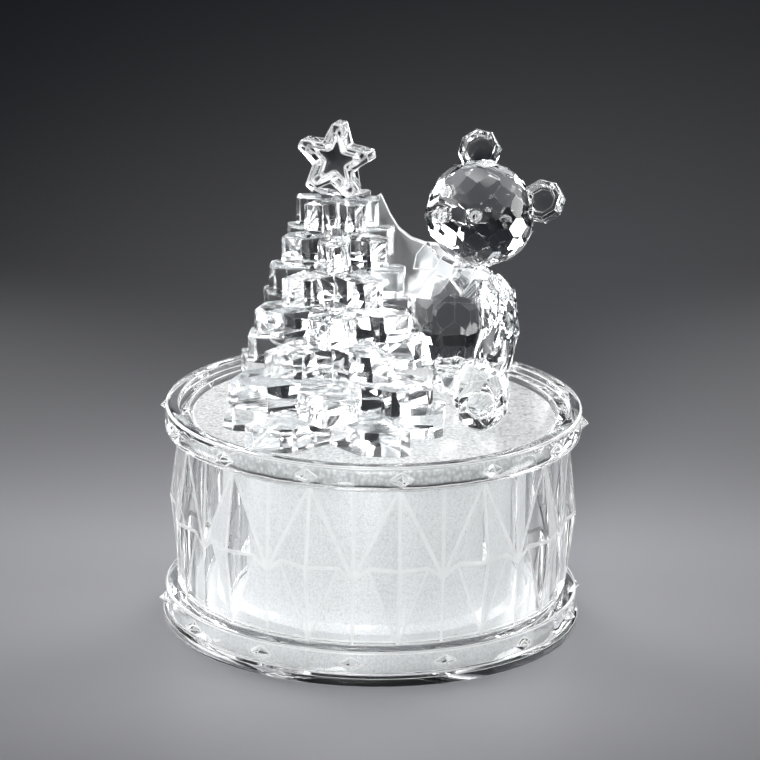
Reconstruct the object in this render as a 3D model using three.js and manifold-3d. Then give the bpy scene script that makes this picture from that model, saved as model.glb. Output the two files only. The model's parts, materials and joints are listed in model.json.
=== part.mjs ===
// Clear acrylic music box: a faceted toy drum with a turning deck that carries a layered
// Christmas tree and a seated bear. Millimetres, +Z up, origin on the resting plane at the
// drum's centre. The front of the object faces -Y.
import * as THREE from 'three';
import { ConvexGeometry } from 'three/addons/geometries/ConvexGeometry.js';
import { mergeVertices } from 'three/addons/utils/BufferGeometryUtils.js';
import ManifoldModule from 'manifold-3d';

const wasm = await ManifoldModule();
wasm.setup();

// ---------------------------------------------------------------- driving sizes
const gap = 0.3;                 // clearance between pieces that touch
const facetCount = 14;           // diamonds round the drum
const facetTurn = 7.8;           // degrees from the front to the nearest wall diamond

const drumRadius = 49.9;         // edge of the rims; the diamonds' peaks stand 1.3 beyond it
const deckTop = 50.3;            // level of the turning deck above the table
const rimLift = 2.7;             // how far the top rim stands above the deck

const rimHeight = 6;
const rimTop = deckTop + rimLift;
const rimBore = drumRadius - 6.2;        // hole that the turning deck runs in
const rimStepRadius = rimBore + 2.6;     // wider mouth above the deck
const rimStepDepth = 1.6;
const baseRadius = drumRadius - 0.1;
const baseThickness = 2;
const lowerRimHeight = 6;
const rimSides = 84;             // flats round a rim, small enough to read as round
const bossHalfWidth = 3.1;       // small diamonds that stand out of each rim
const bossHalfHeight = 1.8;
const bossStand = 1.8;
const wallRadius = drumRadius - 3.4;
const wallBore = wallRadius - 4.1;
const wallBulge = 2.3;           // how far a diamond's peak stands out of the wall

const deckRadius = rimBore - 0.6;
const deckThickness = 3;

const coverRadius = 35;          // frosted housing round the movement
const coverWall = 1.2;
const coverTop = deckTop - 4.9;
const flangeRadius = drumRadius - 5.5;

const treeX = -9;
const treeY = -12;
const treeTurn = -4.5;           // degrees
const tierPitch = 8.3;
const firstTierHeight = 6.1;
const tierHeight = 6;
const tierRadii = [25.7, 27, 20.3, 20.6, 15.6, 13.9, 9.5];   // bottom tier first
const armWidth = 0.26;           // half width of a branch over the tier's radius
const rodRadius = 1.8;

const starRadius = 9.6;
const starInner = 5.1;
const starThickness = 5;
const starTurn = -21;            // degrees about the vertical
const starLean = 5;              // degrees in its own plane
const starBlunt = 6.5;           // half the angle that a tip's flat end spans, in degrees

const headRadius = 12;
const headRows = 9;              // rows of facets from the chin to the crown
const headAround = 18;           // facets round the widest row
const headCentre = new THREE.Vector3(24.2, -5, 50.8 + deckTop);
const headForward = new THREE.Vector3(-0.34, -0.78, 0.53);
const headUp = new THREE.Vector3(0.63, 0.23, 0.74);
const earRadius = 5.1;
const earThickness = 5;
const eyeRadius = 1.4;
const noseRadius = 1.7;
const torsoCentre = new THREE.Vector3(18.5, 0, 24.8 + deckTop);
const torsoRadii = new THREE.Vector3(11.6, 9.8, 15.2);
const torsoRows = 9;
const torsoAround = 14;

const bedplateRadius = coverRadius - 4.6;
const bedplateBottom = 13;
const bedplateTop = 15;
const postCircle = bedplateRadius - 3.9;
const postRadius = 3.4;
const keyOpening = 17;

const barrelBottom = 16.6;
const barrelTop = 25;
const crownTeeth = 24;
const pinionTeeth = 8;
const crownPitchRadius = 10.3;
const barrelRadius = crownPitchRadius + 1.1;
const toothHeight = 1.5;
const wheelTeeth = 36;
const flyTeeth = 9;
const wheelModule = 0.6;
const arborRadius = 2.5;
const shaftRadius = 1.4;
const cylinderRadius = 6.5;
const cylinderStart = 15.4;
const cylinderEnd = 24.6;
const pinHeight = 0.7;
const tineCount = 12;
const tinePitch = 0.72;

// ---------------------------------------------------------------- colours
const clear = { color: 0xf2f6f8, roughness: 0.05, metalness: 0 };
const frosted = { color: 0xeff1f2, roughness: 0.6, metalness: 0 };
const brass = { color: 0xc9a14a, roughness: 0.32, metalness: 1 };
const steel = { color: 0xb9bcc0, roughness: 0.3, metalness: 1 };
const castMetal = { color: 0x9fa2a6, roughness: 0.5, metalness: 1 };
const whitePlastic = { color: 0xe8e6de, roughness: 0.5, metalness: 0 };

const root = new THREE.Group();
root.name = 'crystal_drum_music_box';

// ---------------------------------------------------------------- helpers
function rad(degrees) {
  return degrees * Math.PI / 180;
}

// A point at a radius and an angle; angle 0 is the front and positive angles go right.
function polar(radius, degrees, z = 0) {
  return new THREE.Vector3(radius * Math.sin(rad(degrees)), -radius * Math.cos(rad(degrees)), z);
}

function solid(geometry) {
  const plain = new THREE.BufferGeometry();
  plain.setAttribute('position', geometry.getAttribute('position').clone());
  if (geometry.index) {
    plain.setIndex(geometry.index.clone());
  }
  const merged = mergeVertices(plain, 1e-4);
  const index = Array.from(merged.index.array);
  const kept = [];
  for (let i = 0; i < index.length; i += 3) {
    const [a, b, c] = index.slice(i, i + 3);
    if (a !== b && b !== c && c !== a) {
      kept.push(a, b, c);
    }
  }
  const shape = new wasm.Manifold(new wasm.Mesh({
    numProp: 3,
    vertProperties: new Float32Array(merged.getAttribute('position').array),
    triVerts: new Uint32Array(kept),
  }));
  return shape;
}

function geometryOf(shape) {
  const mesh = shape.getMesh();
  const geometry = new THREE.BufferGeometry();
  const points = new Float32Array(mesh.numVert * 3);
  for (let i = 0; i < mesh.numVert; i += 1) {
    for (let c = 0; c < 3; c += 1) {
      points[3 * i + c] = mesh.vertProperties[mesh.numProp * i + c];
    }
  }
  geometry.setAttribute('position', new THREE.BufferAttribute(points, 3));
  geometry.setIndex(Array.from(mesh.triVerts));
  return geometry;
}

function join(first, ...others) {
  let shape = solid(first);
  for (const other of others) {
    shape = shape.add(solid(other));
  }
  return geometryOf(shape);
}

function cut(first, ...others) {
  let shape = solid(first);
  for (const other of others) {
    shape = shape.subtract(solid(other));
  }
  return geometryOf(shape);
}

// Adds one named piece to the scene graph.
function piece(name, geometry, look, parent = root) {
  const flat = geometry.index ? geometry.toNonIndexed() : geometry;
  flat.computeVertexNormals();
  const mesh = new THREE.Mesh(flat, new THREE.MeshStandardMaterial({ ...look, flatShading: true }));
  mesh.name = name;
  parent.add(mesh);
  return mesh;
}

// Turned shape about +Z from [radius, z] pairs that run anticlockwise, outer side upward.
function turned(profile, sides = 48) {
  const points = profile.map(([r, z]) => new THREE.Vector2(r, z));
  points.push(points[0].clone());
  const geometry = new THREE.LatheGeometry(points, sides);
  geometry.rotateX(Math.PI / 2);
  return geometry;
}

function rod(radius, z0, z1, sides = 24) {
  return turned([[0, z0], [radius, z0], [radius, z1], [0, z1]], sides);
}

function tube(inner, outer, z0, z1, sides = 48) {
  return turned([[inner, z0], [outer, z0], [outer, z1], [inner, z1]], sides);
}

// Upright prism from an outline in X and Y.
function prism(outline, z0, z1, holes = []) {
  const shape = new THREE.Shape(outline.map((p) => new THREE.Vector2(p.x, p.y)));
  for (const hole of holes) {
    const path = new THREE.Path();
    path.absarc(hole.x, hole.y, hole.radius, 0, 2 * Math.PI, true);
    shape.holes.push(path);
  }
  const geometry = new THREE.ExtrudeGeometry(shape, {
    depth: z1 - z0, bevelEnabled: false, curveSegments: 7,
  });
  geometry.translate(0, 0, z0);
  return geometry;
}

// Turns a shape made about +Z so that it runs along +X, its X side up.
function alongX(geometry) {
  geometry.rotateY(Math.PI / 2);
  return geometry;
}

function box(x0, x1, y0, y1, z0, z1) {
  const geometry = new THREE.BoxGeometry(x1 - x0, y1 - y0, z1 - z0);
  geometry.translate((x0 + x1) / 2, (y0 + y1) / 2, (z0 + z1) / 2);
  return geometry;
}

function fromTriangles(triangles) {
  const geometry = new THREE.BufferGeometry();
  geometry.setFromPoints(triangles.flat());
  return geometry;
}

// Faceted rounded limb: rings of flat sides along a path, each station {at, radius}. Its height
// is its width times tall.
function limb(stations, sides = 8, extra = 0, tall = 1) {
  const rings = stations.map((station, i) => {
    const before = stations[Math.max(0, i - 1)].at;
    const after = stations[Math.min(stations.length - 1, i + 1)].at;
    const along = after.clone().sub(before).normalize();
    const side = new THREE.Vector3(0, 0, 1).cross(along);
    if (side.lengthSq() < 0.01) {
      side.set(1, 0, 0);
    }
    side.normalize();
    const up = along.clone().cross(side);
    const ring = [];
    for (let k = 0; k < sides; k += 1) {
      const angle = (k + 0.5 * (i % 2)) * 2 * Math.PI / sides;
      ring.push(station.at.clone()
        .addScaledVector(side, (station.radius + extra) * Math.cos(angle))
        .addScaledVector(up, (station.radius * tall + extra) * Math.sin(angle)));
    }
    return { ring, along };
  });
  const triangles = [];
  for (let i = 0; i + 1 < rings.length; i += 1) {
    const low = rings[i].ring;
    const high = rings[i + 1].ring;
    for (let k = 0; k < sides; k += 1) {
      const n = (k + 1) % sides;
      if (i % 2 === 0) {
        triangles.push([low[k], low[n], high[k]], [low[n], high[n], high[k]]);
      } else {
        triangles.push([low[k], low[n], high[n]], [low[k], high[n], high[k]]);
      }
    }
  }
  const start = rings[0].ring;
  const end = rings[rings.length - 1].ring;
  const startCentre = stations[0].at.clone().addScaledVector(rings[0].along, -extra);
  const last = rings[rings.length - 1];
  const endCentre = stations[stations.length - 1].at.clone().addScaledVector(last.along, extra);
  for (let k = 0; k < sides; k += 1) {
    const n = (k + 1) % sides;
    triangles.push([startCentre, start[n], start[k]], [endCentre, end[k], end[n]]);
  }
  return fromTriangles(triangles);
}

// Ball of radius 1 cut into flat facets in rows about +Z. Every facet touches the ball, and its
// corners are where three neighbouring facets meet.
function cutBall(rows, around) {
  const touch = [];
  for (let row = 0; row <= rows; row += 1) {
    const tilt = Math.PI * row / rows;
    const count = Math.max(1, Math.round(around * Math.sin(tilt)));
    for (let k = 0; k < count; k += 1) {
      const angle = 2 * Math.PI * (k + 0.5 * (row % 2)) / count;
      touch.push(new THREE.Vector3(
        Math.sin(tilt) * Math.cos(angle), Math.sin(tilt) * Math.sin(angle), Math.cos(tilt),
      ));
    }
  }
  const net = new ConvexGeometry(touch).getAttribute('position');
  const corners = [];
  for (let i = 0; i < net.count; i += 3) {
    const [a, b, c] = [0, 1, 2].map((k) => new THREE.Vector3().fromBufferAttribute(net, i + k));
    const corner = a.clone().cross(b).add(b.clone().cross(c)).add(c.clone().cross(a));
    corners.push(corner.divideScalar(a.dot(b.clone().cross(c))));
  }
  return new ConvexGeometry(corners);
}

// Cut facets of an egg shape that stands upright.
function egg(centre, radii, extra = 0) {
  const geometry = cutBall(torsoRows, torsoAround);
  geometry.scale(radii.x + extra, radii.y + extra, radii.z + extra);
  geometry.translate(centre.x, centre.y, centre.z);
  return geometry;
}

// ---------------------------------------------------------------- drum
// Band of diamonds: each has four faces that rise to a peak, with ridged triangles between.
function diamondBand(spec) {
  const pitch = 360 / facetCount;
  const middle = (spec.low + spec.high) / 2;
  const ridge = spec.low + spec.ridgeHeight * (spec.high - spec.low);
  const floor = new THREE.Vector3(0, 0, spec.low);
  const roof = new THREE.Vector3(0, 0, spec.high);
  const triangles = [];
  for (let k = 0; k < facetCount; k += 1) {
    const a = spec.turn + k * pitch;
    const b = a + pitch / 2;
    const next = a + pitch;
    const top = polar(spec.radius, a, spec.high);
    const bottom = polar(spec.radius, a, spec.low);
    const left = polar(spec.radius + spec.waist, a - spec.halfAngle, middle);
    const right = polar(spec.radius + spec.waist, a + spec.halfAngle, middle);
    const peak = polar(spec.radius + spec.bulge, a, middle);
    const apex = polar(spec.radius + spec.waist, b, ridge);
    const topHalf = polar(spec.radius, b, spec.high);
    const bottomHalf = polar(spec.radius, b, spec.low);
    const top2 = polar(spec.radius, next, spec.high);
    const bottom2 = polar(spec.radius, next, spec.low);
    const left2 = polar(spec.radius + spec.waist, next - spec.halfAngle, middle);
    triangles.push(
      [left, bottom, peak], [bottom, right, peak], [right, top, peak], [top, left, peak],
      [right, bottom, apex], [bottom, bottomHalf, apex], [bottomHalf, bottom2, apex],
      [bottom2, left2, apex], [left2, top2, apex], [top2, topHalf, apex],
      [topHalf, top, apex], [top, right, apex],
      [top, topHalf, roof], [topHalf, top2, roof],
      [bottomHalf, bottom, floor], [bottom2, bottomHalf, floor],
    );
  }
  return fromTriangles(triangles);
}

// Round rim with a small four-sided boss in front of each of the drum's diamonds.
function bossedRim(radius, low, high, turn) {
  let shape = solid(turned([
    [0, low], [radius - 0.4, low], [radius, low + 0.4], [radius, high - 0.4],
    [radius - 0.4, high], [0, high],
  ], rimSides));
  const middle = (low + high) / 2;
  for (let k = 0; k < facetCount; k += 1) {
    const half = bossHalfWidth / radius;
    const wide = (side) => polar(radius - 0.05, side * half * 180 / Math.PI, middle);
    const boss = new ConvexGeometry([
      wide(-1), wide(1), polar(radius - 0.05, 0, middle - bossHalfHeight),
      polar(radius - 0.05, 0, middle + bossHalfHeight), polar(radius + bossStand, 0, middle),
      polar(radius - 2, 0, middle),
    ]);
    boss.rotateZ(rad(turn + k * 360 / facetCount));
    shape = shape.add(solid(boss));
  }
  return geometryOf(shape);
}

function topRim() {
  const low = rimTop - rimHeight;
  const ring = bossedRim(drumRadius - 0.5, low, rimTop, facetTurn);
  const bore = rod(rimBore, low - 1, rimTop + 1, rimSides);
  const mouth = rod(rimStepRadius, rimTop - rimStepDepth, rimTop + 1, rimSides);
  piece('top_rim', cut(ring, bore, mouth), clear);
}

function drumWall() {
  const low = baseThickness + lowerRimHeight + 2 * gap;
  const band = diamondBand({
    low, high: rimTop - rimHeight - gap, radius: wallRadius, waist: 0.5, bulge: wallBulge,
    halfAngle: 8.7, ridgeHeight: 0.43, turn: facetTurn,
  });
  piece('drum_wall', cut(band, rod(wallBore, low - 1, rimTop, 56)), clear);
}

function bottomRim() {
  const low = baseThickness + gap;
  const turn = facetTurn + 180 / facetCount;
  const ring = bossedRim(baseRadius - 0.5, low, low + lowerRimHeight, turn);
  const bore = rod(flangeRadius + 0.4, low - 1, low + lowerRimHeight + 1, rimSides);
  piece('bottom_rim', cut(ring, bore), clear);
}

function postAngle(k) {
  return 15 + 120 * k;
}

function basePlate() {
  let shape = solid(tube(keyOpening, baseRadius, 0, baseThickness, 56));
  for (let k = 0; k < 3; k += 1) {
    const place = polar(postCircle, postAngle(k));
    const post = rod(postRadius, baseThickness - 0.5, bedplateBottom - gap, 16);
    post.translate(place.x, place.y, 0);
    const hole = rod(1.6, bedplateTop - 9, bedplateBottom + 1, 12);
    hole.translate(place.x, place.y, 0);
    shape = shape.add(solid(post)).subtract(solid(hole));
  }
  piece('base_plate', geometryOf(shape), clear);
}

function movementCover() {
  const floor = baseThickness + gap;
  const inner = coverRadius - coverWall;
  const roof = coverTop - 1.5;
  piece('movement_cover', turned([
    [flangeRadius, floor], [flangeRadius, floor + 5], [flangeRadius - 1.4, floor + 5.6],
    [coverRadius + 1.2, floor + 6], [coverRadius, floor + 8], [coverRadius, coverTop],
    [4.8, coverTop], [4.8, roof], [inner, roof], [inner, floor],
  ], 44), frosted);
}

function drum() {
  drumWall();
  topRim();
  bottomRim();
  basePlate();
  movementCover();
}

// ---------------------------------------------------------------- turntable
function turntable() {
  piece('turntable_deck', rod(deckRadius, deckTop - deckThickness, deckTop, 56), frosted);
  const hubTop = deckTop - deckThickness - gap;
  piece('drive_hub', turned([
    [3.3, hubTop - 5.7], [4.3, hubTop - 5.7], [4.3, hubTop - 1.2], [9, hubTop - 1.2],
    [9, hubTop], [0, hubTop], [0, hubTop - 1], [3.3, hubTop - 1],
  ], 28), whitePlastic);
}

// ---------------------------------------------------------------- tree
function tierBottom(k) {
  return k === 0 ? deckTop + gap : deckTop + firstTierHeight + (k - 1) * tierPitch
    + (tierPitch - tierHeight);
}

// Six branches. Sharp tiers have a branch at the front and pointed ends; the others have a
// branch at each side and broad ends that face front, back, left and right.
function tierOutline(radius, sharp, extra) {
  const half = armWidth * (radius - extra) + extra;
  const blunt = sharp ? 0.55 : 0.68 * half;
  const start = treeTurn + (sharp ? 0 : 30);
  const outline = [];
  for (let m = 0; m < 6; m += 1) {
    const a = start + 60 * m;
    const facing = sharp ? a : treeTurn + [0, 90, 180, 180, 270, 360][m];
    const end = polar(radius * (sharp || m % 3 === 1 ? 1 : 0.97), a);
    const out = polar(1, facing);
    const side = polar(1, facing + 90);
    const at = (back, across) => end.clone().addScaledVector(out, -back).addScaledVector(side, across);
    outline.push(at(half - blunt, -half), at(0, -blunt), at(0, blunt), at(half - blunt, half),
      polar(2 * half, a + 30));
  }
  return outline;
}

function tierTop(k) {
  return deckTop + firstTierHeight + k * tierPitch;
}

// One tier's branches; extra grows them on every side, for cutting a neighbour clear.
function tierPlate(k, extra = 0, holes = []) {
  const outline = tierOutline(tierRadii[k] + extra, k % 2 === 1, extra);
  return prism(outline, tierBottom(k) - extra, tierTop(k) + extra, holes);
}

// The tiers' plates that a bear's piece could meet, grown by the gap and set in place.
function tierCutters() {
  const cutters = [];
  for (let k = 0; k < tierRadii.length; k += 1) {
    const cutter = tierPlate(k, gap);
    cutter.translate(treeX, treeY, 0);
    cutters.push(cutter);
  }
  return cutters;
}

function treeTier(k) {
  const top = tierTop(k);
  const hole = { x: 0, y: 0, radius: rodRadius + gap };
  const plate = tierPlate(k, 0, [hole]);
  let geometry = plate;
  if (k + 1 < tierRadii.length) {
    const neck = tube(rodRadius + gap, 0.4 * tierRadii[k + 1], top - 1,
      top + tierPitch - tierHeight - gap, 12);
    geometry = join(plate, neck);
  }
  const mesh = piece(`tree_tier_${k + 1}`, geometry, clear);
  mesh.position.set(treeX, treeY, 0);
}

function treeTop() {
  return tierTop(tierRadii.length - 1);
}

function starOutline(scale, blunt) {
  const outline = [];
  for (let k = 0; k < 5; k += 1) {
    const a = 90 + 72 * k;
    const tip = (turn) => new THREE.Vector2(
      (starRadius - blunt) * scale * Math.cos(rad(a + turn)),
      (starRadius - blunt) * scale * Math.sin(rad(a + turn)),
    );
    outline.push(tip(-starBlunt), tip(starBlunt));
    const notch = rad(a + 36);
    outline.push(new THREE.Vector2(
      starInner * scale * Math.cos(notch), starInner * scale * Math.sin(notch),
    ));
  }
  return outline;
}

// Star-shaped plug that widens from one scale and height to another, for the hollowed faces.
function starFrustum(low, z0, high, z1) {
  const level = (scale, z) => starOutline(scale, 0.3)
    .map((p) => new THREE.Vector3(p.x, p.y, z));
  const foot = level(low, z0);
  const head = level(high, z1);
  const triangles = [];
  for (let k = 0; k < foot.length; k += 1) {
    const n = (k + 1) % foot.length;
    triangles.push([foot[k], foot[n], head[n]], [foot[k], head[n], head[k]],
      [new THREE.Vector3(0, 0, z0), foot[n], foot[k]],
      [new THREE.Vector3(0, 0, z1), head[k], head[n]]);
  }
  return fromTriangles(triangles);
}

function star() {
  const half = starThickness / 2;
  const body = prism(starOutline(1, 0.5), -half, half);
  const hollow = starFrustum(0.52, half - 1.5, 0.82, half + 0.5);
  const back = hollow.clone();
  back.rotateY(Math.PI);
  const geometry = cut(body, hollow, back);
  geometry.rotateX(Math.PI / 2);
  const mesh = piece('tree_star', geometry, clear);
  const footDrop = (starRadius - 0.5) * Math.cos(rad(36 - starBlunt));
  mesh.position.set(treeX - 0.6, treeY, treeTop() + 3 * gap + footDrop);
  mesh.rotation.set(0, rad(starLean), rad(starTurn), 'ZYX');
}

function tree() {
  const centre = piece('tree_rod', rod(rodRadius, deckTop + gap, treeTop(), 12), clear);
  centre.position.set(treeX, treeY, 0);
  for (let k = 0; k < tierRadii.length; k += 1) {
    treeTier(k);
  }
  star();
}

// ---------------------------------------------------------------- bear
const headRight = headForward.clone().normalize().cross(headUp).normalize().negate();
const headTrueUp = headForward.clone().normalize().cross(headRight).normalize();
const headFrame = new THREE.Matrix4().makeBasis(
  headRight, headTrueUp, headForward.clone().normalize(),
).setPosition(headCentre);

// A point in the head's own frame: right, up, forward.
function onHead(right, up, forward) {
  return new THREE.Vector3(right, up, forward).applyMatrix4(headFrame);
}

function headBall(extra) {
  const ball = cutBall(headRows, headAround);
  ball.rotateX(-Math.PI / 2);
  ball.scale(1.06 * headRadius + extra, headRadius + extra, headRadius + extra);
  ball.applyMatrix4(headFrame);
  return ball;
}

function muzzle(extra) {
  const shape = cutBall(5, 9);
  shape.scale(0.52 * headRadius + extra, 0.42 * headRadius + extra, 0.48 * headRadius + extra);
  shape.translate(-0.05 * headRadius, -0.53 * headRadius, 0.7 * headRadius);
  shape.applyMatrix4(headFrame);
  return shape;
}

// Small dome with a stem, pointing out of the head from a point on its surface.
function dome(radius, depth, proud, extra = 0) {
  return turned([
    [0, -depth - extra], [radius + extra, -depth - extra], [radius + extra, proud * 0.4 + extra],
    [0.6 * radius, proud * 0.85 + extra], [0, proud + extra],
  ], 12);
}

function placeDome(geometry, place) {
  const local = new THREE.Vector3(...place).multiplyScalar(headRadius);
  const turn = new THREE.Quaternion().setFromUnitVectors(
    new THREE.Vector3(0, 0, 1), local.clone().normalize(),
  );
  geometry.applyQuaternion(turn);
  geometry.translate(local.x, local.y, local.z);
  geometry.applyMatrix4(headFrame);
  return geometry;
}

// Right, up and forward over the head's radius.
const eyePlaces = [[-0.41, -0.16, 0.91], [0.41, -0.16, 0.91]];
const nosePlace = [-0.07, -0.6, 1.15];

function head() {
  let shape = solid(headBall(0)).add(solid(muzzle(0)));
  for (const place of eyePlaces) {
    shape = shape.subtract(solid(placeDome(dome(eyeRadius, 1.2, 3, gap), place)));
  }
  shape = shape.subtract(solid(placeDome(dome(noseRadius, 1.6, 3, gap), nosePlace)));
  piece('bear_head', geometryOf(shape), clear);
  piece('bear_eye_right', placeDome(dome(eyeRadius, 1.2, 1.7), eyePlaces[0]), clear);
  piece('bear_eye_left', placeDome(dome(eyeRadius, 1.2, 1.7), eyePlaces[1]), clear);
  piece('bear_nose', placeDome(dome(noseRadius, 1.6, 1.6), nosePlace), clear);
}

function ear(name, sign) {
  const disc = turned([
    [0, -earThickness / 2], [earRadius - 1.2, -earThickness / 2], [earRadius, -0.8],
    [earRadius, 1.4], [earRadius - 0.5, earThickness / 2], [earRadius - 1.5, earThickness / 2],
    [earRadius - 2.2, earThickness / 2 - 1.7], [0, earThickness / 2 - 1.7],
  ], 8);
  disc.translate(sign * 0.875 * headRadius, 0.925 * headRadius, 0);
  disc.applyMatrix4(headFrame);
  piece(name, cut(disc, headBall(gap)), clear);
}

const nearArm = [
  { at: new THREE.Vector3(26.3, -4.5, 34.5 + deckTop), radius: 3.2 },
  { at: new THREE.Vector3(28, -6, 31.5 + deckTop), radius: 4.8 },
  { at: new THREE.Vector3(29.2, -9, 23.5 + deckTop), radius: 4.6 },
  { at: new THREE.Vector3(27.6, -12.4, 17.6 + deckTop), radius: 4.6 },
  { at: new THREE.Vector3(26.4, -14, 14.2 + deckTop), radius: 3.4 },
];

const nearLeg = [
  { at: new THREE.Vector3(25.2, 1.6, 8.9 + deckTop), radius: 4.6 },
  { at: new THREE.Vector3(25.3, -2.4, 8.9 + deckTop), radius: 6.4 },
  { at: new THREE.Vector3(25.2, -9, 8.7 + deckTop), radius: 6.8 },
  { at: new THREE.Vector3(25, -15.8, 8.3 + deckTop), radius: 6.6 },
  { at: new THREE.Vector3(24.9, -18.6, 8.2 + deckTop), radius: 5.6 },
];

const farLeg = [
  { at: new THREE.Vector3(19.8, 4.4, 8.9 + deckTop), radius: 4.4 },
  { at: new THREE.Vector3(18.8, 8.6, 8.9 + deckTop), radius: 6.3 },
  { at: new THREE.Vector3(16.8, 14.8, 8.5 + deckTop), radius: 6.6 },
  { at: new THREE.Vector3(15, 20.4, 8.2 + deckTop), radius: 6.4 },
  { at: new THREE.Vector3(14.2, 23, 8.1 + deckTop), radius: 5.4 },
];

function legShape(stations, extra) {
  return limb(stations, 9, extra, 1.14);
}

function torso() {
  const shape = cut(egg(torsoCentre, torsoRadii), headBall(gap), muzzle(gap),
    limb(nearArm, 8, gap), legShape(nearLeg, gap), legShape(farLeg, gap), ...tierCutters());
  piece('bear_torso', shape, clear);
}

function footPad(stations) {
  const end = stations[stations.length - 1].at;
  const along = end.clone().sub(stations[stations.length - 2].at).normalize();
  return { end, along };
}

function padShape(stations, inner, outer, from, to) {
  const { end, along } = footPad(stations);
  const shape = inner > 0 ? tube(inner, outer, from, to, 14) : rod(outer, from, to, 14);
  shape.applyQuaternion(new THREE.Quaternion().setFromUnitVectors(
    new THREE.Vector3(0, 0, 1), along,
  ));
  shape.translate(end.x, end.y, end.z);
  return shape;
}

function leg(name, padName, stations, others) {
  const body = cut(legShape(stations, 0), padShape(stations, 0, 3.5, -1.4, 4), ...others);
  piece(name, body, clear);
  piece(padName, padShape(stations, 0, 3.2, -1.1, 0.5), clear);
}

function bowTie() {
  const wing = (sign) => [
    new THREE.Vector2(sign * 1, -1), new THREE.Vector2(sign * 6.4, -3.6),
    new THREE.Vector2(sign * 7.2, 0), new THREE.Vector2(sign * 6.4, 3.6),
    new THREE.Vector2(sign * 1, 1),
  ];
  const right = wing(1);
  const left = wing(-1).reverse();
  const shape = join(prism(right, -1.2, 1.2), prism(left, -1.2, 1.2),
    box(-1.7, 1.7, -2.1, 2.1, -1.8, 1.8));
  shape.rotateX(Math.PI / 2);
  shape.rotateY(rad(24));
  shape.rotateZ(rad(-14));
  shape.translate(15.8, -12.6, 39.5 + deckTop);
  piece('bear_bow_tie', cut(shape, headBall(gap), muzzle(gap), egg(torsoCentre, torsoRadii, gap)),
    clear);
}

// Flat clear web between the tree's upper tiers and the bear's far shoulder.
function farArm() {
  const treeHeight = treeTop() - deckTop;
  const outline = [
    [0.9, treeHeight - 0.5], [-4, treeHeight - 4], [-4, 32.5], [14, 30.5], [19, 38.5],
    [14.6, 43.7], [11.4, 43.9],
    [8, 45.1], [5.2, 47.4], [3.2, 50.5],
  ].map(([x, z]) => new THREE.Vector2(x, z + deckTop));
  const web = prism(outline, -1.4, 1.4);
  web.rotateX(Math.PI / 2);
  web.translate(0, -7, 0);
  piece('bear_far_arm', cut(web, headBall(gap), muzzle(gap), egg(torsoCentre, torsoRadii, gap),
    ...tierCutters()), clear);
}

function bear() {
  head();
  ear('bear_ear_right', -1);
  ear('bear_ear_left', 1);
  torso();
  bowTie();
  farArm();
  piece('bear_near_arm', cut(limb(nearArm), legShape(nearLeg, gap), headBall(gap)), clear);
  leg('bear_near_leg', 'near_foot_pad', nearLeg, []);
  leg('bear_far_leg', 'far_foot_pad', farLeg, [legShape(nearLeg, gap)]);
}

// ---------------------------------------------------------------- movement
const crownPitch = 2 * Math.PI * crownPitchRadius / crownTeeth;
const pinionPitchRadius = crownPitchRadius * pinionTeeth / crownTeeth;
const cylinderZ = barrelTop + toothHeight / 2 + pinionPitchRadius;
const wheelPitchRadius = wheelModule * wheelTeeth / 2;
const flyPitchRadius = wheelModule * flyTeeth / 2;
const flyY = wheelPitchRadius + flyPitchRadius + 0.1;

// Spur gear outline with straight-sided teeth; the first tooth points along +X.
function gearOutline(teeth, pitchRadius, above, below, thickness, tipThickness) {
  const outline = [];
  const root2 = thickness * 1.25;
  for (let k = 0; k < teeth; k += 1) {
    const a = 2 * Math.PI * k / teeth;
    const at = (radius, across) => {
      const turn = a + across / radius;
      return new THREE.Vector2(radius * Math.cos(turn), radius * Math.sin(turn));
    };
    const low = pitchRadius - below;
    const high = pitchRadius + above;
    outline.push(at(low, -root2 / 2), at(pitchRadius, -thickness / 2), at(high, -tipThickness / 2),
      at(high, tipThickness / 2), at(pitchRadius, thickness / 2), at(low, root2 / 2));
  }
  return outline;
}

function barrel() {
  const wall = 1;
  const shell = turned([
    [3, barrelBottom], [barrelRadius, barrelBottom], [barrelRadius, barrelTop],
    [4.8, barrelTop], [4.8, barrelTop + 2], [3.3, barrelTop + 2], [3.3, barrelTop],
    [0, barrelTop], [0, barrelTop - wall], [barrelRadius - wall, barrelTop - wall],
    [barrelRadius - wall, barrelBottom + wall], [3, barrelBottom + wall],
  ], 30);
  let shape = solid(shell);
  const thick = 0.36 * crownPitch;
  for (let k = 0; k < crownTeeth; k += 1) {
    const tooth = fromTriangles(wedge(9.2, barrelRadius - 0.05, thick, 0.62 * thick));
    tooth.rotateZ(2 * Math.PI * (k + 0.5) / crownTeeth);
    shape = shape.add(solid(tooth));
  }
  piece('spring_barrel', geometryOf(shape), brass);
}

// One crown tooth that runs outward along +X on the barrel's top.
function wedge(inner, outer, width, tip) {
  const low = barrelTop - 0.4;
  const high = barrelTop + toothHeight;
  const at = (x, side, z) => {
    const half = (z === low ? width : tip) / 2 * (x / crownPitchRadius);
    return new THREE.Vector3(x, side * half, z);
  };
  const a = at(inner, -1, low);
  const b = at(outer, -1, low);
  const c = at(outer, 1, low);
  const d = at(inner, 1, low);
  const e = at(inner, -1, high);
  const f = at(outer, -1, high);
  const g = at(outer, 1, high);
  const h = at(inner, 1, high);
  return [
    [a, c, b], [a, d, c], [e, f, g], [e, g, h], [a, b, f], [a, f, e],
    [b, c, g], [b, g, f], [c, d, h], [c, h, g], [d, a, e], [d, e, h],
  ];
}

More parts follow.
